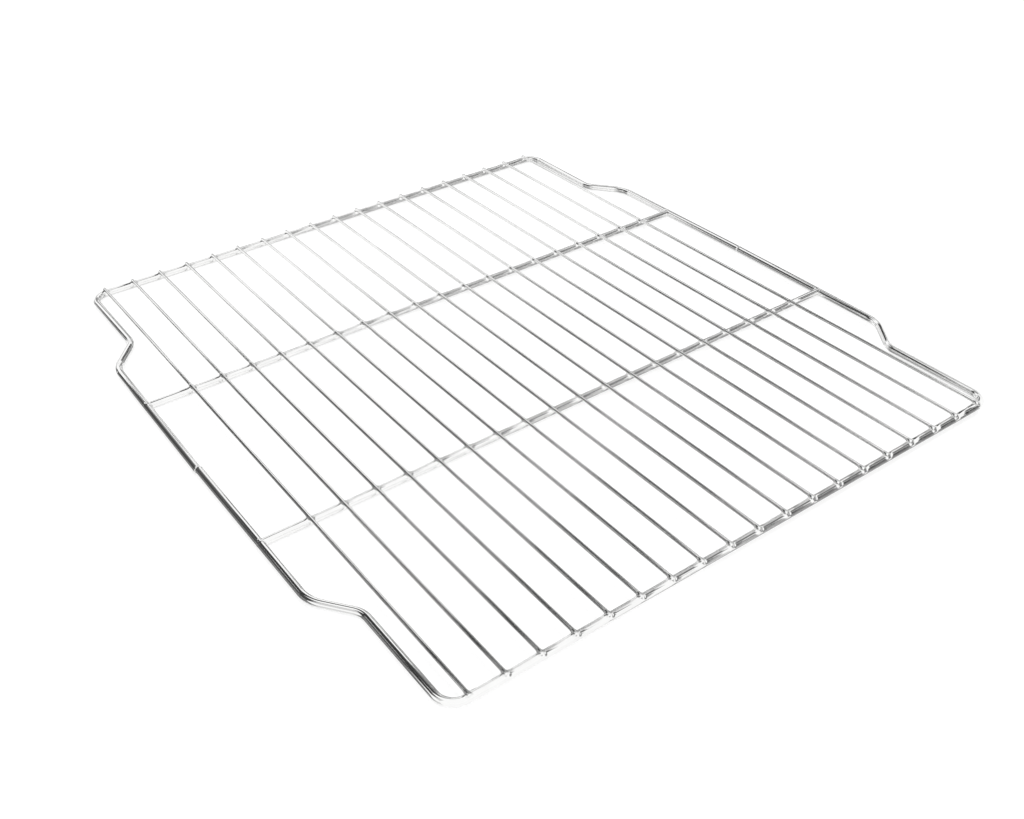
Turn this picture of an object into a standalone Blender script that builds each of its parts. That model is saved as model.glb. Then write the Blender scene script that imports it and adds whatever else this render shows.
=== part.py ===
"""Wire oven rack with joggled sides.

A round frame wire is bent into two U-shaped halves that are butt welded to each other in the middle
of the long sides. Two cross bars run between the sides, and nineteen thin wires lie over the frame's
front and rear runs and the cross bars, set down into each of them by the weld.

Metres, +Z up. X runs along the bars, Y along the thin wires, and -Y is the front. The origin is on
the surface that the rack lies on, below the middle of the rack.
"""

import math

import bmesh
import bpy

# Wire diameters
FRAME_WIRE = 0.0063
CROSS_BAR_WIRE = 0.0060
GRID_WIRE = 0.0030

# Frame outline, measured between the wire's centre lines
FRAME_LENGTH = 0.636           # front run to rear run
WIDE_WIDTH = 0.596             # side to side in the middle, where the rack slides on its runners
FRONT_STEP_DEPTH = 0.0250      # how far each side steps in towards the front end
REAR_STEP_DEPTH = 0.0267       # the same towards the rear end, which is a little narrower
STEP_LENGTH = 0.033            # measured along the side, between the step's two bends
NARROW_END_LENGTH = 0.104      # from an end run to the nearest bend of the step
SIDE_BOW = 0.0015              # how far the wide sides lean out at their weld
JOINT_MISMATCH = 0.0008        # the front half's left end lies this far inside the rear half's

# Bend radii of the frame wire's centre line
CORNER_RADIUS = 0.015
STEP_INNER_RADIUS = 0.020
STEP_OUTER_RADIUS = 0.032

# Cross bars and thin wires
CROSS_BAR_SPACING = 0.216      # front cross bar to rear cross bar
GRID_COUNT = 19
GRID_MARGIN = 0.0139           # from the rear end's side to the outermost thin wire, centre to centre
GRID_OVERHANG = 0.002          # how far the thin wires reach past the end runs' centre lines
SET_DOWN = 0.0006              # how deep the weld presses a thin wire into a bar

# Fits and edges
CLEARANCE = 0.0003             # gap that pieces keep where the weld joins them
FRAME_END_CHAMFER = 0.0004
GRID_END_CHAMFER = 0.0002

# Smoothness: sides round each wire, the turn between two sections of a bend, and the sharpest
# turn between two faces that still shade as one round wall
BAR_SIDES = 16
GRID_SIDES = 12
BEND_STEP = math.radians(7.5)
CREASE_ANGLE = math.radians(40)

CAP_MERGE = 0.00001            # joins a drawn wire's loose end caps to its wall

CHROME_COLOUR = (0.80, 0.80, 0.79, 1.0)
BAR_ROUGHNESS = 0.08
GRID_ROUGHNESS = 0.10

# Worked out from the sizes above
FRONT_WIDTH = WIDE_WIDTH - 2 * FRONT_STEP_DEPTH
REAR_WIDTH = WIDE_WIDTH - 2 * REAR_STEP_DEPTH
STEP_INNER_Y = FRAME_LENGTH / 2 - NARROW_END_LENGTH
STEP_OUTER_Y = STEP_INNER_Y - STEP_LENGTH
FRAME_Z = FRAME_WIRE / 2
CROSS_BAR_Z = FRAME_WIRE - CROSS_BAR_WIRE / 2
GRID_Z = FRAME_WIRE + GRID_WIRE / 2 - SET_DOWN
GRID_FIRST_X = -REAR_WIDTH / 2 + GRID_MARGIN
GRID_PITCH = -2 * GRID_FIRST_X / (GRID_COUNT - 1)
GRID_END_Y = FRAME_LENGTH / 2 + GRID_OVERHANG


def clear_scene():
    """Remove whatever the file holds."""
    for item in list(bpy.data.objects):
        bpy.data.objects.remove(item, do_unlink=True)


def new_collection(name):
    """A collection of that name, linked to the scene."""
    collection = bpy.data.collections.new(name)
    bpy.context.scene.collection.children.link(collection)
    return collection


def chrome(name, roughness):
    """Bright plated steel."""
    material = bpy.data.materials.new(name)
    material.use_nodes = True
    shader = material.node_tree.nodes["Principled BSDF"]
    shader.inputs["Base Color"].default_value = CHROME_COLOUR
    shader.inputs["Metallic"].default_value = 1.0
    shader.inputs["Roughness"].default_value = roughness
    return material


def bent_path(corners, z):
    """Points along straight runs whose corners, given as (x, y, bend radius), are rounded into arcs."""
    points = [(corners[0][0], corners[0][1], z)]
    for before, corner, after in zip(corners, corners[1:], corners[2:]):
        arrive = math.atan2(corner[1] - before[1], corner[0] - before[0])
        leave = math.atan2(after[1] - corner[1], after[0] - corner[0])
        turn = math.remainder(leave - arrive, math.tau)
        radius = corner[2]
        tangent = radius * math.tan(abs(turn) / 2)
        side = math.copysign(1.0, turn)
        centre_x = corner[0] - tangent * math.cos(arrive) - side * radius * math.sin(arrive)
        centre_y = corner[1] - tangent * math.sin(arrive) + side * radius * math.cos(arrive)
        steps = max(2, round(abs(turn) / BEND_STEP))
        for step in range(steps + 1):
            heading = arrive + turn * step / steps
            x = centre_x + side * radius * math.sin(heading)
            y = centre_y - side * radius * math.cos(heading)
            points.append((x, y, z))
    points.append((corners[-1][0], corners[-1][1], z))
    return points


def with_end_rings(points, inset):
    """The path with one more point just inside each end, where the end's chamfer starts."""
    def towards(start, target):
        length = math.dist(start, target)
        return tuple(s + (t - s) * inset / length for s, t in zip(start, target))

    first = towards(points[0], points[1])
    last = towards(points[-1], points[-2])
    return [points[0], first] + points[1:-1] + [last, points[-1]]


def round_wire(name, points, diameter, sides, chamfer, collection, material=None):
    """A closed round wire along a path: its flats touch the true diameter and one of them faces down."""
    radius = diameter / 2
    curve = bpy.data.curves.new(name, "CURVE")
    curve.dimensions = "3D"
    curve.twist_mode = "Z_UP"
    curve.bevel_mode = "ROUND"
    curve.bevel_depth = radius / math.cos(math.pi / sides)
    curve.bevel_resolution = (sides - 4) // 2
    curve.use_fill_caps = True
    path = with_end_rings(points, chamfer) if chamfer else points
    spline = curve.splines.new("POLY")
    spline.points.add(len(path) - 1)
    for spline_point, place in zip(spline.points, path):
        spline_point.co = (*place, 1.0)
        spline_point.tilt = math.pi / sides
    if chamfer:
        for end in (0, -1):
            spline.points[end].radius = 1 - chamfer / radius
    drawn = bpy.data.objects.new(name + "_path", curve)
    collection.objects.link(drawn)
    bpy.context.view_layer.update()
    evaluated = drawn.evaluated_get(bpy.context.evaluated_depsgraph_get())
    mesh = bpy.data.meshes.new_from_object(evaluated)
    mesh.name = name
    body = bmesh.new()
    body.from_mesh(mesh)
    bmesh.ops.remove_doubles(body, verts=body.verts, dist=CAP_MERGE)
    bmesh.ops.recalc_face_normals(body, faces=body.faces)
    body.to_mesh(mesh)
    body.free()
    wire = bpy.data.objects.new(name, mesh)
    wire.matrix_world = drawn.matrix_world
    collection.objects.link(wire)
    bpy.data.objects.remove(drawn, do_unlink=True)
    smooth(mesh)
    if material:
        mesh.materials.clear()
        mesh.materials.append(material)
    return wire


def smooth(mesh):
    """Shade the round wall smooth and keep the cut ends crisp."""
    mesh.shade_smooth()
    mesh.set_sharp_from_angle(angle=CREASE_ANGLE)


def hide_cutter(item):
    """A cutter only shapes its neighbours."""
    item.hide_render = True
    item.display_type = "WIRE"


def cut(target, cutter):
    """Take the cutter's space out of the target."""
    modifier = target.modifiers.new("cut by " + cutter.name, "BOOLEAN")
    modifier.operation = "DIFFERENCE"
    modifier.solver = "EXACT"
    modifier.object = cutter


def side_corners(end, side, bow):
    """One leg of a frame half, from its weld to its corner; end is -1 at the front, side -1 at the left."""
    wide = side * WIDE_WIDTH / 2
    narrow = side * (FRONT_WIDTH if end < 0 else REAR_WIDTH) / 2
    return [
        (wide + side * bow, end * CLEARANCE / 2, 0.0),
        (wide, end * STEP_OUTER_Y, STEP_OUTER_RADIUS),
        (narrow, end * STEP_INNER_Y, STEP_INNER_RADIUS),
        (narrow, end * FRAME_LENGTH / 2, CORNER_RADIUS),
    ]


def frame_half_path(end):
    """The whole bend of a frame half, from its left weld round the end run to its right weld."""
    left_bow = SIDE_BOW - (JOINT_MISMATCH if end < 0 else 0.0)
    left = side_corners(end, -1, left_bow)
    right = side_corners(end, 1, SIDE_BOW)
    return bent_path(left + right[::-1], FRAME_Z)


def build_frame_half(name, end, material, parts, cutters):
    """A frame half, and the slightly larger wire that copes the cross bar's ends round it."""
    path = frame_half_path(end)
    half = round_wire(name, path, FRAME_WIRE, BAR_SIDES, FRAME_END_CHAMFER, parts, material)
    cope_diameter = FRAME_WIRE + 2 * CLEARANCE
    cope = round_wire(name + "_cope", path, cope_diameter, BAR_SIDES, 0.0, cutters)
    hide_cutter(cope)
    return half, cope


def build_cross_bar(name, y, cope, material, parts):
    """A straight bar between the wide sides, its ends hollowed to fit the round of the frame wire."""
    reach = WIDE_WIDTH / 2
    ends = [(-reach, y, CROSS_BAR_Z), (reach, y, CROSS_BAR_Z)]
    bar = round_wire(name, ends, CROSS_BAR_WIRE, BAR_SIDES, 0.0, parts, material)
    cut(bar, cope)
    return bar


def build_saddle_cutter(cutters):
    """A row of wires, each a clearance larger than a thin wire: they leave its saddles in the bars."""
    past_the_frame = GRID_END_Y + FRAME_WIRE
    ends = [(GRID_FIRST_X, -past_the_frame, GRID_Z), (GRID_FIRST_X, past_the_frame, GRID_Z)]
    diameter = GRID_WIRE + 2 * CLEARANCE
    cutter = round_wire("saddle_cutter", ends, diameter, GRID_SIDES, 0.0, cutters)
    row = cutter.modifiers.new("row of wires", "ARRAY")
    row.count = GRID_COUNT
    row.use_relative_offset = False
    row.use_constant_offset = True
    row.constant_offset_displace = (GRID_PITCH, 0.0, 0.0)
    hide_cutter(cutter)
    return cutter


def build_grid_wires(material, parts):
    """The thin wires, numbered from the left; they all share the first one's mesh."""
    ends = [(0.0, -GRID_END_Y, 0.0), (0.0, GRID_END_Y, 0.0)]
    first = round_wire("grid_wire_01", ends, GRID_WIRE, GRID_SIDES, GRID_END_CHAMFER, parts, material)
    first.location = (GRID_FIRST_X, 0.0, GRID_Z)
    for index in range(1, GRID_COUNT):
        wire = bpy.data.objects.new("grid_wire_%02d" % (index + 1), first.data)
        wire.location = (GRID_FIRST_X + GRID_PITCH * index, 0.0, GRID_Z)
        parts.objects.link(wire)


def main():
    clear_scene()
    parts = new_collection("oven_rack")
    cutters = new_collection("oven_rack_cutters")
    bar_chrome = chrome("bar_chrome", BAR_ROUGHNESS)
    grid_chrome = chrome("grid_chrome", GRID_ROUGHNESS)
    front_half, front_cope = build_frame_half("frame_front_half", -1, bar_chrome, parts, cutters)
    rear_half, rear_cope = build_frame_half("frame_rear_half", 1, bar_chrome, parts, cutters)
    front_bar = build_cross_bar("cross_bar_front", -CROSS_BAR_SPACING / 2, front_cope, bar_chrome, parts)
    rear_bar = build_cross_bar("cross_bar_rear", CROSS_BAR_SPACING / 2, rear_cope, bar_chrome, parts)
    saddles = build_saddle_cutter(cutters)
    for bar in (front_half, rear_half, front_bar, rear_bar):
        cut(bar, saddles)
    build_grid_wires(grid_chrome, parts)


main()
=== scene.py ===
"""Looks of the wire oven rack: drawn chrome wire with its welds, on a white glossy studio table."""

import math

import bpy
import numpy as np
from mathutils import Matrix, Vector


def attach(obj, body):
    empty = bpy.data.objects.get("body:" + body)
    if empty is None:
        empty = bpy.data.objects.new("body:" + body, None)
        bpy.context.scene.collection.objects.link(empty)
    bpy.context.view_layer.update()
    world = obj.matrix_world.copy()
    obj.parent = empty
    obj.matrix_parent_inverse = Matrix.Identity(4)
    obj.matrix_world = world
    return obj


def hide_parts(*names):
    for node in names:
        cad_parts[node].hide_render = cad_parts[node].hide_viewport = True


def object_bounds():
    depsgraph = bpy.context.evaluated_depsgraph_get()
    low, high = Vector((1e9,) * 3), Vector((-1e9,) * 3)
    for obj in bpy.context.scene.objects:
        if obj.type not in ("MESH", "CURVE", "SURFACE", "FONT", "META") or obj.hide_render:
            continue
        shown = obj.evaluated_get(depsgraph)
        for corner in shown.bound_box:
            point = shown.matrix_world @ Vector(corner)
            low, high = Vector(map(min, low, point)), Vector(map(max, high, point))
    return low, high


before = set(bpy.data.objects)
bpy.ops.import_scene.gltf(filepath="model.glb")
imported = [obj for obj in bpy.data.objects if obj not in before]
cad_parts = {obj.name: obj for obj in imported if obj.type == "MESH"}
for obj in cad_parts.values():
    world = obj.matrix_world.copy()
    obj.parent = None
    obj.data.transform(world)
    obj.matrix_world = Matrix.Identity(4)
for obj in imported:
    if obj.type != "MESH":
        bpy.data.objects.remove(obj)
cad_box = [list(corner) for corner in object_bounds()]
box_low, box_high = np.array(cad_box[0]), np.array(cad_box[1])

# Sizes of the rack in metres, as in the CAD; -1 stands for the front or left, 1 for the rear or right
FRAME_R = 0.00315
CROSS_R = 0.0030
GRID_R = 0.0015
HALF_LENGTH = 0.318
WIDE = 0.298                          # half the width over the middle of the sides
NARROW = {-1: 0.2730, 1: 0.2713}      # half the width of the front and rear ends
STEP_INNER_Y = 0.214
STEP_OUTER_Y = 0.181
SIDE_BOW = 0.0015
JOINT_MISMATCH = 0.0008
WELD_GAP = 0.00015
CORNER_RADIUS = 0.015
STEP_INNER_RADIUS = 0.020
STEP_OUTER_RADIUS = 0.032
CROSS_Y = 0.108
GRID_COUNT = 19
GRID_PITCH = 0.0286
GRID_END_Y = 0.320
FRAME_Z = FRAME_R
CROSS_Z = 0.0033
GRID_Z = 0.0072
GRID_X = [(i - (GRID_COUNT - 1) / 2) * GRID_PITCH for i in range(GRID_COUNT)]
BOTH = (-1, 1)

# Weld metal and wire ends, in metres
GRID_FILLET = 0.0030         # reach of the metal that a crossing weld squeezes out, on a thin wire
BAR_FILLET = 0.0038          # the same on the thicker bars
SIDE_FILLET = 0.0012         # the neat weld between a cross bar and the side of the frame
CREST = 0.25                 # height of such metal, as a share of its reach
SETTLE_ROUNDS = 4
BUTTON = 0.00055             # how far the squashed front end of a thin wire stands out
BUTTON_LENGTH = 0.0042
BUTTON_SLOPE = 0.6           # share of that length over which it runs out
BUTTON_DULLNESS = 1.5        # how much duller it is than other weld metal
FLASH_HEIGHT = 0.00015       # the ring of metal round a butt weld
FLASH_REACH = 0.0019
BAR_SHORTFALL = 0.0012       # the cross bars end this far short of the middle of the side wire
EDGE_ROUNDING = 0.00038      # rounding of a wire's end
EDGE_SHARE = 0.3             # and at most this share of its radius
BOX_MARGIN = 0.000001        # how far everything stays inside the CAD box

# Where the rings of a wire lie, in metres along it; a zone is its half width and the step in it
BAR_SIDES = 32
GRID_SIDES = 24
EDGE_STEPS = 4
BEND_STEP = 2.5              # degrees
BEND_LEAST_STEPS = 6
BAR_STEP = 0.012
GRID_STEP = 0.018
BAR_CROSSING = (0.0036, 0.0004)
GRID_CROSSING = (0.0045, 0.0003)
BUTT_WELD = (0.0024, 0.0002)
SIDE_JOIN = (0.006, 0.0005)
BAR_END = (0.008, 0.0005)
CORNER_CLEARANCE = 0.004     # crossings nearer to a corner's bend than this share the zone below
CORNER_ZONE = (0.0087, 0.002, 0.0004)     # into the bend, into the straight run, and the step
STATION_DIGITS = 7
ROUND_OFF = 1e-9             # a length this much short of a bend still counts as there
SHARP_ANGLE = 50             # degrees

# Chrome plating; scales are waves per metre, depths are metres
CHROME_TONE = (0.975, 0.975, 0.97)
CLOUDED = 0.95               # the darkest tone, as a share of that one
CLOUD_SCALE, CLOUD_DETAIL = 55.0, 5.0
CLOUD_RANGE = (0.30, 0.62)
STREAK_STRETCH = (22.0, 26.0, 1.0)        # long along the wire, fine round it
STREAK_DETAIL = 4.0
STREAK_RANGE = (0.3, 0.7)
PIT_SCALE, PIT_DETAIL = 900.0, 2.0
LINE_STRENGTH, LINE_DEPTH = 0.10, 0.00005
PIT_STRENGTH, PIT_DEPTH = 0.12, 0.00003
WELD_ROUGHNESS = 0.06        # what weld metal adds to the roughness

# Studio: strengths and tones from 0 to 1, places in metres
WHITE = (1.0, 1.0, 1.0, 1.0)
BACKDROP_LIGHT, BACKDROP_SEEN = 0.55, 1.0
TABLE_HALF = 9
TABLE_Z = -0.00005
TABLE_TONE, TABLE_IOR, TABLE_GLOW = 0.40, 1.9, 0.72
TABLE_GLOSS, TABLE_PALE = 0.86, 0.14      # what the rack's chrome sees of it
CARD_SPACING = 0.001
FIRST_BOUNCE = 1.5           # between the ray depths 1 and 2
SOFTBOX_PLACE = (-0.3, 0.5, 1.6)
SOFTBOX_SIZE = (1.6, 1.2)
SOFTBOX_WATTS = 9.0

# Camera at the photograph's viewing angle, in metres and radians; the focal length is in pixels
CAMERA_PLACE = (-0.512075, -0.730020, 0.577314)
CAMERA_YAW, CAMERA_PITCH, CAMERA_ROLL = 0.61807, 0.62778, -0.02081
FOCAL_PX = 1158.52
PHOTO_WIDTH_PX = 1024.0
SENSOR_MM = 36.0
CLIP_START, CLIP_END = 0.01, 60.0


def add_object(name, data):
    """A new object in the scene that shows a mesh, a light or a camera."""
    piece = bpy.data.objects.new(name, data)
    bpy.context.scene.collection.objects.link(piece)
    return piece


# Wires as swept tubes
class Path:
    """A flat route of straight runs and arcs through corners given as (x, y, bend radius)."""

    def __init__(self, corners, z):
        self.z = z
        self.parts = []
        self.marks = [0.0]
        length = 0.0
        x, y = corners[0][:2]
        for before, corner, after in zip(corners, corners[1:], corners[2:]):
            arrive = math.atan2(corner[1] - before[1], corner[0] - before[0])
            leave = math.atan2(after[1] - corner[1], after[0] - corner[0])
            turn = math.remainder(leave - arrive, math.tau)
            tangent = corner[2] * math.tan(abs(turn) / 2)
            run = math.dist((x, y), corner[:2]) - tangent
            self.parts.append((length, x, y, arrive, 0.0))
            x, y = x + run * math.cos(arrive), y + run * math.sin(arrive)
            length += run
            arc = corner[2] * abs(turn)
            self.parts.append((length, x, y, arrive, turn / arc))
            steps = max(BEND_LEAST_STEPS, round(math.degrees(abs(turn)) / BEND_STEP))
            self.marks += [length + arc * i / steps for i in range(steps + 1)]
            length += arc
            x, y = corner[0] + tangent * math.cos(leave), corner[1] + tangent * math.sin(leave)
        last = corners[-1]
        heading = math.atan2(last[1] - y, last[0] - x)
        self.parts.append((length, x, y, heading, 0.0))
        self.length = length + math.dist((x, y), last[:2])
        self.marks.append(self.length)

    def at(self, s):
        """(x, y, heading) after a length s."""
        start, x, y, heading, curl = [part for part in self.parts if part[0] <= s + ROUND_OFF][-1]
        s -= start
        if curl == 0.0:
            return x + s * math.cos(heading), y + s * math.sin(heading), heading
        turned = heading + curl * s
        return (x + (math.sin(turned) - math.sin(heading)) / curl,
                y - (math.cos(turned) - math.cos(heading)) / curl, turned)


def spread(first, last, step):
    """Even stations from first to last, at most a step apart."""
    count = max(1, math.ceil((last - first) / step))
    return [first + (last - first) * i / count for i in range(count + 1)]


def around(place, zone, total):
    """Close stations on both sides of a place on a wire of that total length."""
    half, step = zone
    return spread(max(0.0, place - half), min(total, place + half), step)


def ring_stops(path, stations, edge):
    """Where the rings go: over both rounded ends, and in between at the stations and round the bends."""
    total = path.length
    lead = [edge * (1 - math.cos(math.pi / 2 * i / EDGE_STEPS)) for i in range(EDGE_STEPS + 1)]
    inner = set(round(s, STATION_DIGITS) for s in stations + path.marks if edge < s < total - edge)
    return lead + sorted(inner) + [total - s for s in lead[::-1]]


def reach(points, segment):
    """Distance of points from the surface of a round wire (start, end, radius)."""
    start, end, radius = segment
    start, end = np.array(start), np.array(end)
    along = end - start
    share = np.clip((points - start) @ along / (along @ along), 0.0, 1.0)
    return np.linalg.norm(points - start - share[:, None] * along, axis=1) - radius


def swell(distance, size):
    """How far a surface stands out towards its neighbour where a weld joins the two."""
    out = np.zeros_like(distance)
    for _ in range(SETTLE_ROUNDS):
        near = np.maximum(size - np.abs(distance - out), 0.0) / size
        out = 0.5 * out + 0.5 * near * near * size * CREST
    return out


def tube_faces(count, sides):
    """Faces between the rings, and then the fans of triangles that close both ends."""
    faces = []
    for i in range(count - 1):
        a, b = i * sides, (i + 1) * sides
        for j in range(sides):
            k = (j + 1) % sides
            faces.append((a + j, a + k, b + k, b + j))
    first, last = count * sides, count * sides + 1
    end = (count - 1) * sides
    for j in range(sides):
        k = (j + 1) % sides
        faces.append((first, k, j))
        faces.append((last, end + j, end + k))
    return faces


def tube_coordinates(stops, sides):
    """Length along the wire and share of the way round, for each corner of those faces."""
    coords = []
    for here, there in zip(stops, stops[1:]):
        for j in range(sides):
            coords += [here, j / sides, here, (j + 1) / sides, there, (j + 1) / sides, there, j / sides]
    total = stops[-1]
    for j in range(sides):
        coords += [0.0, 0.5, 0.0, (j + 1) / sides, 0.0, j / sides]
        coords += [total, 0.5, total, j / sides, total, (j + 1) / sides]
    return coords


def tube(name, path, radius, sides, stations, welds, profile=None, level_top=False):
    """A closed smooth round wire: rings at the stations, swollen towards the wires it is welded to.

    A profile gives what the radius gains along the wire, and level_top then keeps its top level.
    """
    total = path.length
    edge = min(EDGE_ROUNDING, radius * EDGE_SHARE)
    stops = ring_stops(path, stations, edge)
    gains = [profile(s, total) if profile else 0.0 for s in stops]
    angles = np.arange(sides) * math.tau / sides
    rings, aims = [], []
    for s, gain in zip(stops, gains):
        x, y, heading = path.at(s)
        r = radius + gain
        gap = min(s, total - s)
        if gap < edge:
            r -= edge - math.sqrt(max(edge * edge - (edge - gap) ** 2, 0.0))
        normal = np.array([-math.sin(heading), math.cos(heading), 0.0])
        out = np.cos(angles)[:, None] * normal + np.sin(angles)[:, None] * np.array([0.0, 0.0, 1.0])
        centre = np.array([x, y, path.z - gain if level_top else path.z])
        rings.append(centre + out * r)
        aims.append(out)
    points, aims = np.concatenate(rings), np.concatenate(aims)
    weld = np.repeat([BUTTON_DULLNESS * gain / BUTTON for gain in gains], sides)
    for segment, size in welds:
        rise = swell(reach(points, segment), size)
        weld = np.maximum(weld, rise / (size * CREST))
        points = points + aims * rise[:, None]
    points = np.clip(points, box_low + BOX_MARGIN, box_high - BOX_MARGIN)
    points = np.vstack([points, rings[0].mean(0), rings[-1].mean(0)])
    weld = np.append(weld, [0.0, 0.0])

    mesh = bpy.data.meshes.new(name)
    mesh.from_pydata(points.tolist(), [], tube_faces(len(stops), sides))
    layer = mesh.uv_layers.new(name="along_and_round")
    layer.data.foreach_set("uv", tube_coordinates(stops, sides))
    attribute = mesh.attributes.new("weld", "FLOAT", "POINT")
    attribute.data.foreach_set("value", weld.tolist())
    mesh.validate()
    mesh.shade_smooth()
    mesh.set_sharp_from_angle(angle=math.radians(SHARP_ANGLE))
    return add_object(name, mesh)


# Shader nodes
def feed(tree, node, inputs):
    """Gives a node's inputs their values, or links them where a value is another node's output."""
    for socket, source in inputs.items():
        if isinstance(source, bpy.types.NodeSocket):
            tree.links.new(source, node.inputs[socket])
        else:
            node.inputs[socket].default_value = source


def add_node(tree, kind, inputs=None, **settings):
    """A new shader node with its own settings and with its inputs fed."""
    node = tree.nodes.new(kind)
    for key, value in settings.items():
        setattr(node, key, value)
    feed(tree, node, inputs or {})
    return node


def result(tree, operation, *terms):
    """The output of a maths node on numbers or other nodes' outputs."""
    return add_node(tree, "ShaderNodeMath", dict(enumerate(terms)), operation=operation).outputs[0]


def new_material(name):
    """A new material and its node tree."""
    material = bpy.data.materials.new(name)
    material.use_nodes = True
    return material, material.node_tree


def seen(tree):
    """1 for camera, mirror and see-through rays, 0 for the rays that light things."""
    rays = add_node(tree, "ShaderNodeLightPath").outputs
    direct = result(tree, "MAXIMUM", rays["Is Camera Ray"], rays["Is Glossy Ray"])
    return result(tree, "MAXIMUM", direct, rays["Is Transmission Ray"])


def chrome(name, rough_low, rough_high, seed):
    """Plated drawn wire: slightly uneven tone and polish, faint draw lines, duller weld metal."""
    material, tree = new_material(name)
    place = add_node(tree, "ShaderNodeTexCoord").outputs["Object"]
    cloud = add_node(tree, "ShaderNodeTexNoise", {
        "Vector": place, "W": seed, "Scale": CLOUD_SCALE, "Detail": CLOUD_DETAIL}, noise_dimensions="4D")
    shade = add_node(tree, "ShaderNodeValToRGB", {"Fac": cloud.outputs["Fac"]})
    for stop, position, share in zip(shade.color_ramp.elements, CLOUD_RANGE, (CLOUDED, 1.0)):
        stop.position = position
        stop.color = (*[channel * share for channel in CHROME_TONE], 1)

    unrolled = add_node(tree, "ShaderNodeUVMap", uv_map="along_and_round")
    stretch = add_node(tree, "ShaderNodeMapping", {"Vector": unrolled.outputs["UV"], "Scale": STREAK_STRETCH})
    streak = add_node(tree, "ShaderNodeTexNoise", {
        "Vector": stretch.outputs["Vector"], "Scale": 1.0, "Detail": STREAK_DETAIL})
    pits = add_node(tree, "ShaderNodeTexNoise", {"Vector": place, "Scale": PIT_SCALE, "Detail": PIT_DETAIL})

    polish = add_node(tree, "ShaderNodeMapRange", {
        "Value": streak.outputs["Fac"], "From Min": STREAK_RANGE[0], "From Max": STREAK_RANGE[1],
        "To Min": rough_low, "To Max": rough_high})
    melted = add_node(tree, "ShaderNodeAttribute", attribute_name="weld")
    dull = result(tree, "MULTIPLY_ADD", melted.outputs["Fac"], WELD_ROUGHNESS, polish.outputs["Result"])

    lines = add_node(tree, "ShaderNodeBump", {
        "Height": streak.outputs["Fac"], "Strength": LINE_STRENGTH, "Distance": LINE_DEPTH})
    grains = add_node(tree, "ShaderNodeBump", {
        "Height": pits.outputs["Fac"], "Strength": PIT_STRENGTH, "Distance": PIT_DEPTH,
        "Normal": lines.outputs["Normal"]})
    feed(tree, tree.nodes["Principled BSDF"], {
        "Base Color": shade.outputs["Color"], "Metallic": 1.0, "Roughness": dull,
        "Normal": grains.outputs["Normal"]})
    return material


bar_chrome = chrome("bar_chrome_plating", rough_low=0.035, rough_high=0.085, seed=1.7)
grid_chrome = chrome("grid_chrome_plating", rough_low=0.05, rough_high=0.11, seed=6.2)


# The rack
def across(half_width, y, z, radius):
    """A stretch of wire from left to right that others are welded to, as (start, end, radius)."""
    return (-half_width, y, z), (half_width, y, z), radius


def along_side(side, end):
    """The slightly bowed stretch of a side from its butt weld to its joggle, in the same form."""
    return (side * (WIDE + SIDE_BOW), 0.0, FRAME_Z), (side * WIDE, end * STEP_OUTER_Y, FRAME_Z), FRAME_R


grid_segments = [((x, -GRID_END_Y, GRID_Z), (x, GRID_END_Y, GRID_Z), GRID_R) for x in GRID_X]
end_segments = [across(NARROW[end], end * HALF_LENGTH, FRAME_Z, FRAME_R) for end in BOTH]
cross_segments = {end: across(WIDE, end * CROSS_Y, CROSS_Z, CROSS_R) for end in BOTH}
side_segments = [along_side(side, end) for side in BOTH for end in BOTH]


def leg(end, side, bow):
    """Corners of one side of a frame half, from its butt weld to its end run."""
    return [(side * (WIDE + bow), end * WELD_GAP, 0.0),
            (side * WIDE, end * STEP_OUTER_Y, STEP_OUTER_RADIUS),
            (side * NARROW[end], end * STEP_INNER_Y, STEP_INNER_RADIUS),
            (side * NARROW[end], end * HALF_LENGTH, CORNER_RADIUS)]


def flash(s, total):
    """The ring of metal that the butt weld pushes out, ground back but not gone."""
    gap = min(s, total - s)
    return FLASH_HEIGHT * math.cos(min(gap / FLASH_REACH, 1.0) * math.pi / 2) ** 2


def frame_half(name, end):
    """Half of the frame: a U of wire with a joggle in each leg and metal round its butt welds."""
    left_bow = SIDE_BOW - (JOINT_MISMATCH if end < 0 else 0.0)
    path = Path(leg(end, -1, left_bow) + leg(end, 1, SIDE_BOW)[::-1], FRAME_Z)
    total = path.length
    middle = total / 2
    straight = NARROW[end] - CORNER_RADIUS
    stations = spread(0.0, total, BAR_STEP)
    for x in GRID_X:
        if abs(x) < straight - CORNER_CLEARANCE:
            stations += around(middle + x, BAR_CROSSING, total)
    into_bend, into_run, step = CORNER_ZONE
    stations += spread(middle - straight - into_bend, middle - straight + into_run, step)
    stations += spread(middle + straight - into_run, middle + straight + into_bend, step)
    for place in (0.0, total):
        stations += around(place, BUTT_WELD, total)
    join = CROSS_Y - WELD_GAP
    for place in (join, total - join):
        stations += around(place, SIDE_JOIN, total)
    welds = [(segment, BAR_FILLET) for segment in grid_segments]
    welds.append((cross_segments[end], SIDE_FILLET))
    return tube(name, path, FRAME_R, BAR_SIDES, stations, welds, profile=flash)


def cross_bar(name, end):
    """A straight bar from side to side, welded to them and under the thin wires."""
    tip = WIDE + SIDE_BOW * (1 - CROSS_Y / STEP_OUTER_Y) - BAR_SHORTFALL
    path = Path([(-tip, end * CROSS_Y, 0.0), (tip, end * CROSS_Y, 0.0)], CROSS_Z)
    total = path.length
    stations = spread(0.0, total, BAR_STEP)
    for x in GRID_X:
        stations += around(tip + x, BAR_CROSSING, total)
    for place in (0.0, total):
        stations += around(place, BAR_END, total)
    welds = [(segment, BAR_FILLET) for segment in grid_segments]
    welds += [(segment, SIDE_FILLET) for segment in side_segments]
    return tube(name, path, CROSS_R, BAR_SIDES, stations, welds)


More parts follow.
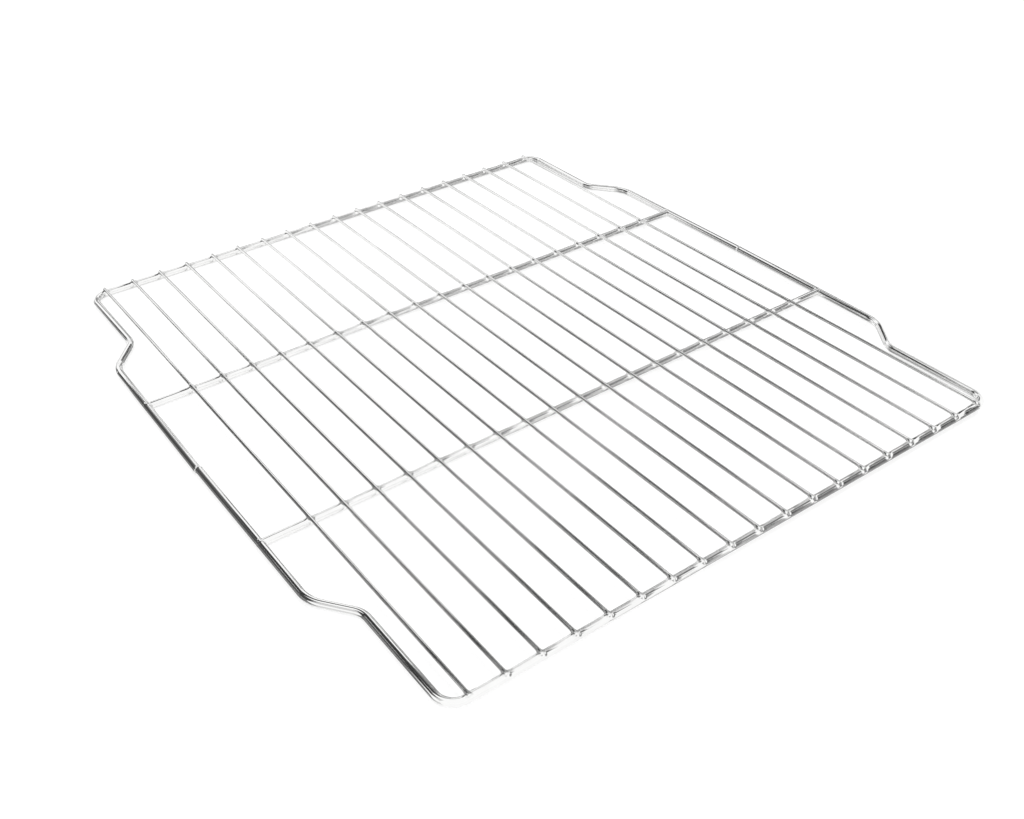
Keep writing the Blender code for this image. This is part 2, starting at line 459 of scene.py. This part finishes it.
def button(s, total):
    """The front end of a thin wire, squashed by its weld."""
    share = min(max((BUTTON_LENGTH - s) / (BUTTON_SLOPE * BUTTON_LENGTH), 0.0), 1.0)
    return BUTTON * (share * share * (3 - 2 * share))


def thin_wire(name, x):
    """A thin wire over both end runs and both cross bars."""
    path = Path([(x, -GRID_END_Y, 0.0), (x, GRID_END_Y, 0.0)], GRID_Z)
    stations = spread(0.0, path.length, GRID_STEP)
    for y in (-HALF_LENGTH, -CROSS_Y, CROSS_Y, HALF_LENGTH):
        stations += around(GRID_END_Y + y, GRID_CROSSING, path.length)
    welds = [(segment, GRID_FILLET) for segment in end_segments + list(cross_segments.values())]
    return tube(name, path, GRID_R, GRID_SIDES, stations, welds, profile=button, level_top=True)


def finish_piece(piece, node, material):
    """Plates a wire, and puts it in the place of its node in the CAD."""
    piece.data.materials.append(material)
    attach(piece, "root")
    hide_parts(node)


for node, end in (("frame_front_half", -1), ("frame_rear_half", 1)):
    finish_piece(frame_half(node + "_wire", end), node, bar_chrome)
for node, end in (("cross_bar_front", -1), ("cross_bar_rear", 1)):
    finish_piece(cross_bar(node + "_wire", end), node, bar_chrome)
for index, x in enumerate(GRID_X):
    node = "grid_wire_%02d" % (index + 1)
    finish_piece(thin_wire(node + "_drawn", x), node, grid_chrome)


# Studio
def white_backdrop():
    """White to look at, and dimmer as a light."""
    world = bpy.data.worlds.new("studio")
    bpy.context.scene.world = world
    world.use_nodes = True
    tree = world.node_tree
    strength = add_node(tree, "ShaderNodeMapRange", {
        "Value": seen(tree), "To Min": BACKDROP_LIGHT, "To Max": BACKDROP_SEEN})
    feed(tree, tree.nodes["Background"], {"Color": WHITE, "Strength": strength.outputs["Result"]})


def table_top():
    """White polished acrylic: pale with a faint mirror image, and full gloss to the rack's chrome."""
    material, tree = new_material("white_acrylic")
    shader = tree.nodes["Principled BSDF"]
    feed(tree, shader, {
        "Base Color": (TABLE_TONE, TABLE_TONE, TABLE_TONE, 1.0), "Roughness": 0.0, "IOR": TABLE_IOR,
        "Emission Color": WHITE, "Emission Strength": result(tree, "MULTIPLY", seen(tree), TABLE_GLOW)})
    gloss = add_node(tree, "ShaderNodeBsdfGlossy", {
        "Color": (TABLE_GLOSS, TABLE_GLOSS, TABLE_GLOSS, 1.0), "Roughness": 0.0})
    pale = add_node(tree, "ShaderNodeEmission", {"Strength": TABLE_PALE})
    both = add_node(tree, "ShaderNodeAddShader", {0: gloss.outputs[0], 1: pale.outputs[0]})
    rays = add_node(tree, "ShaderNodeLightPath").outputs
    pick = add_node(tree, "ShaderNodeMixShader", {
        "Fac": rays["Is Glossy Ray"], 1: shader.outputs[0], 2: both.outputs[0]})
    feed(tree, tree.nodes["Material Output"], {"Surface": pick.outputs[0]})
    return material


def stage_sheet(name, corners, material):
    """A flat sheet of the studio, which is no part of the rack."""
    mesh = bpy.data.meshes.new(name)
    mesh.from_pydata(corners, [], [tuple(range(len(corners)))])
    mesh.materials.append(material)
    piece = add_object(name, mesh)
    return piece


def card_cloth(name, level):
    """Evenly grey, and clear to mirror rays that come straight off the polished table."""
    material, tree = new_material(name)
    tree.nodes.remove(tree.nodes["Principled BSDF"])
    cloth = add_node(tree, "ShaderNodeEmission", {"Color": WHITE, "Strength": level})
    clear = add_node(tree, "ShaderNodeBsdfTransparent")
    rays = add_node(tree, "ShaderNodeLightPath").outputs
    first = result(tree, "LESS_THAN", rays["Ray Depth"], FIRST_BOUNCE)
    straight = result(tree, "MULTIPLY", rays["Is Singular Ray"], first)
    mix = add_node(tree, "ShaderNodeMixShader", {
        "Fac": straight, 1: cloth.outputs["Emission"], 2: clear.outputs["BSDF"]})
    feed(tree, tree.nodes["Material Output"], {"Surface": mix.outputs["Shader"]})
    return material


def flag(name, corners, level):
    """A studio card: only the rack's own mirror finish shows it."""
    piece = stage_sheet(name, corners, card_cloth(name + "_cloth", level))
    piece.visible_camera = False
    piece.visible_diffuse = False
    piece.visible_shadow = False
    piece.visible_transmission = False
    piece.visible_volume_scatter = False


# Walls that the cards hang on: the axis they stand across, their place on it, and which way is inwards
WALLS = {
    "ceiling": (2, 0.8, -1),
    "rear": (1, 0.8, -1),
    "front": (1, -1.5, 1),
    "left": (0, -0.8, 1),
    "right": (0, 1.5, -1),
    "near_left": (0, -0.42, 0),
    "near_rear": (1, 0.58, 0),
}

# Cards as name, wall, corners in metres on that wall, and grey level. Most corners are results of a
# search for what the chrome has to mirror, rounded to 5 cm.
FLAGS = [
    ("ceiling_rear_left", "ceiling",
     [(-0.80, 0.80), (-0.10, 0.80), (-0.10, 0.55), (0.10, 0.20), (-0.25, 0.10), (-0.65, 0.30), (-0.80, 0.40)],
     0.05),
    ("ceiling_rear_strip", "ceiling", [(-0.10, 0.30), (0.60, 0.55), (0.70, 0.25), (0.00, 0.20)], 0.15),
    ("ceiling_rear_right", "ceiling", [(0.70, 0.80), (1.40, 0.80), (1.50, 0.50), (0.80, 0.60)], 0.06),
    ("ceiling_right", "ceiling", [(0.20, 0.10), (0.40, 0.25), (1.10, 0.45), (0.90, 0.00)], 0.45),
    ("ceiling_middle", "ceiling", [(0.10, -0.10), (1.20, 0.00), (1.10, -0.20), (0.40, -0.30)], 0.40),
    ("ceiling_dark", "ceiling", [(0.40, -0.30), (1.10, -0.20), (1.30, -0.80), (0.30, -0.85)], 0.16),
    ("ceiling_front_right", "ceiling", [(0.80, -0.95), (1.50, -0.95), (1.50, -1.50), (0.80, -1.50)], 0.05),
    ("back_left", "rear",
     [(-0.80, 0.80), (-0.30, 0.80), (-0.10, 0.40), (-0.30, 0.50), (-0.60, 0.35), (-0.80, 0.35)], 0.09),
    ("back_left_low", "rear", [(-0.80, 0.40), (-0.60, 0.15), (-0.70, 0.00), (-0.80, 0.00)], 0.08),
    ("back_upper", "rear", [(-0.30, 0.80), (-0.10, 0.80), (-0.10, 0.50), (-0.40, 0.50)], 0.40),
    ("back_grey", "rear",
     [(-0.30, 0.30), (-0.20, 0.15), (-0.05, 0.35), (0.00, 0.15), (0.15, 0.05), (0.15, 0.30)], 0.30),
    ("back_middle", "rear",
     [(0.10, 0.50), (0.20, 0.33), (0.60, 0.37), (0.80, 0.15), (0.45, 0.05), (0.40, 0.25), (0.10, 0.25)],
     0.15),
    ("back_middle_right", "rear", [(0.60, 0.45), (0.85, 0.35), (0.85, 0.10), (0.70, 0.10)], 0.25),
    ("back_right", "rear", [(0.90, 0.65), (1.50, 0.55), (1.20, 0.00), (0.70, 0.00), (1.05, 0.20)], 0.45),
    ("back_right_low", "rear", [(0.90, 0.35), (1.50, 0.20), (1.50, 0.00), (0.90, 0.05)], 0.15),
    ("back_right_upper", "rear", [(0.45, 0.80), (1.50, 0.80), (1.40, 0.60), (0.45, 0.60)], 0.06),
    ("left_pale", "left", [(-0.35, 0.15), (0.00, 0.25), (0.00, 0.80), (-0.35, 0.80)], 0.65),
    ("left_dark", "left", [(0.10, 0.00), (0.80, 0.00), (0.80, 0.80), (-0.20, 0.80)], 0.03),
    ("left_grey", "left", [(0.20, 0.40), (0.80, 0.60), (0.60, 0.15), (0.20, 0.15)], 0.20),
    ("left_bright", "left", [(0.15, 0.00), (0.50, 0.10), (0.55, 0.55), (0.20, 0.40)], 0.95),
    ("right_rear", "right", [(0.50, 0.40), (0.80, 0.00), (0.80, 0.70), (0.10, 0.80)], 0.02),
    ("right_front", "right", [(-1.50, 0.00), (-1.35, 0.25), (-1.10, 0.80), (-1.50, 0.80)], 0.04),
    ("front_middle", "front", [(0.80, 0.00), (0.70, 0.00), (0.75, 0.80), (0.95, 0.80)], 0.50),
    ("front_right", "front", [(0.80, 0.10), (1.40, 0.00), (1.40, 0.60), (0.80, 0.60)], 0.20),
    ("front_right_upper", "front", [(1.00, 0.65), (1.50, 0.25), (1.50, 0.75), (1.00, 0.70)], 0.06),
    ("front_right_low", "front", [(0.80, 0.00), (1.50, 0.00), (1.50, 0.25), (0.90, 0.05)], 0.02),
    ("near_left_panel", "near_left",
     [(-0.15, 0.00), (0.60, 0.05), (0.60, 0.20), (0.45, 0.15), (-0.20, 0.10)], 0.07),
    ("near_rear_panel", "near_rear", [(-0.50, 0.00), (-0.30, 0.05), (-0.50, 0.15)], 0.15),
]


def on_wall(wall, points, lift):
    """Corners on a wall as places in space; the lift keeps cards that overlap apart."""
    axis, place, inwards = WALLS[wall]
    return [(*point[:axis], place + inwards * lift, *point[axis:]) for point in points]


def softbox():
    """A soft light from above; the chrome doesn't mirror it."""
    data = bpy.data.lights.new("overhead_softbox", "AREA")
    data.shape = "RECTANGLE"
    data.size, data.size_y = SOFTBOX_SIZE
    data.energy = SOFTBOX_WATTS
    lamp = add_object("overhead_softbox", data)
    lamp.location = SOFTBOX_PLACE
    lamp.rotation_euler = (-Vector(SOFTBOX_PLACE)).to_track_quat("-Z", "Y").to_euler()
    lamp.visible_glossy = False


def add_camera():
    """A plain camera from its place, the turn about three axes and the focal length."""
    forward = Vector((math.sin(CAMERA_YAW) * math.cos(CAMERA_PITCH),
                      math.cos(CAMERA_YAW) * math.cos(CAMERA_PITCH), -math.sin(CAMERA_PITCH)))
    right = Vector((math.cos(CAMERA_YAW), -math.sin(CAMERA_YAW), 0.0))
    up = right.cross(forward)
    turned_right = right * math.cos(CAMERA_ROLL) + up * math.sin(CAMERA_ROLL)
    turned_up = up * math.cos(CAMERA_ROLL) - right * math.sin(CAMERA_ROLL)
    data = bpy.data.cameras.new("camera")
    data.sensor_fit = "HORIZONTAL"
    data.sensor_width = SENSOR_MM
    data.lens = FOCAL_PX * SENSOR_MM / PHOTO_WIDTH_PX
    data.clip_start, data.clip_end = CLIP_START, CLIP_END
    camera = add_object("camera", data)
    axes = Matrix((turned_right, turned_up, -forward)).transposed()
    camera.matrix_world = Matrix.Translation(CAMERA_PLACE) @ axes.to_4x4()
    return camera


white_backdrop()
quarters = ((-1, -1), (1, -1), (1, 1), (-1, 1))
table_corners = [(x * TABLE_HALF, y * TABLE_HALF, TABLE_Z) for x, y in quarters]
stage_sheet("table", table_corners, table_top())
for order, (name, wall, points, level) in enumerate(FLAGS):
    flag(name, on_wall(wall, points, CARD_SPACING * order), level)
softbox()
bpy.context.scene.camera = add_camera()
bpy.context.scene.view_settings.view_transform = "Standard"
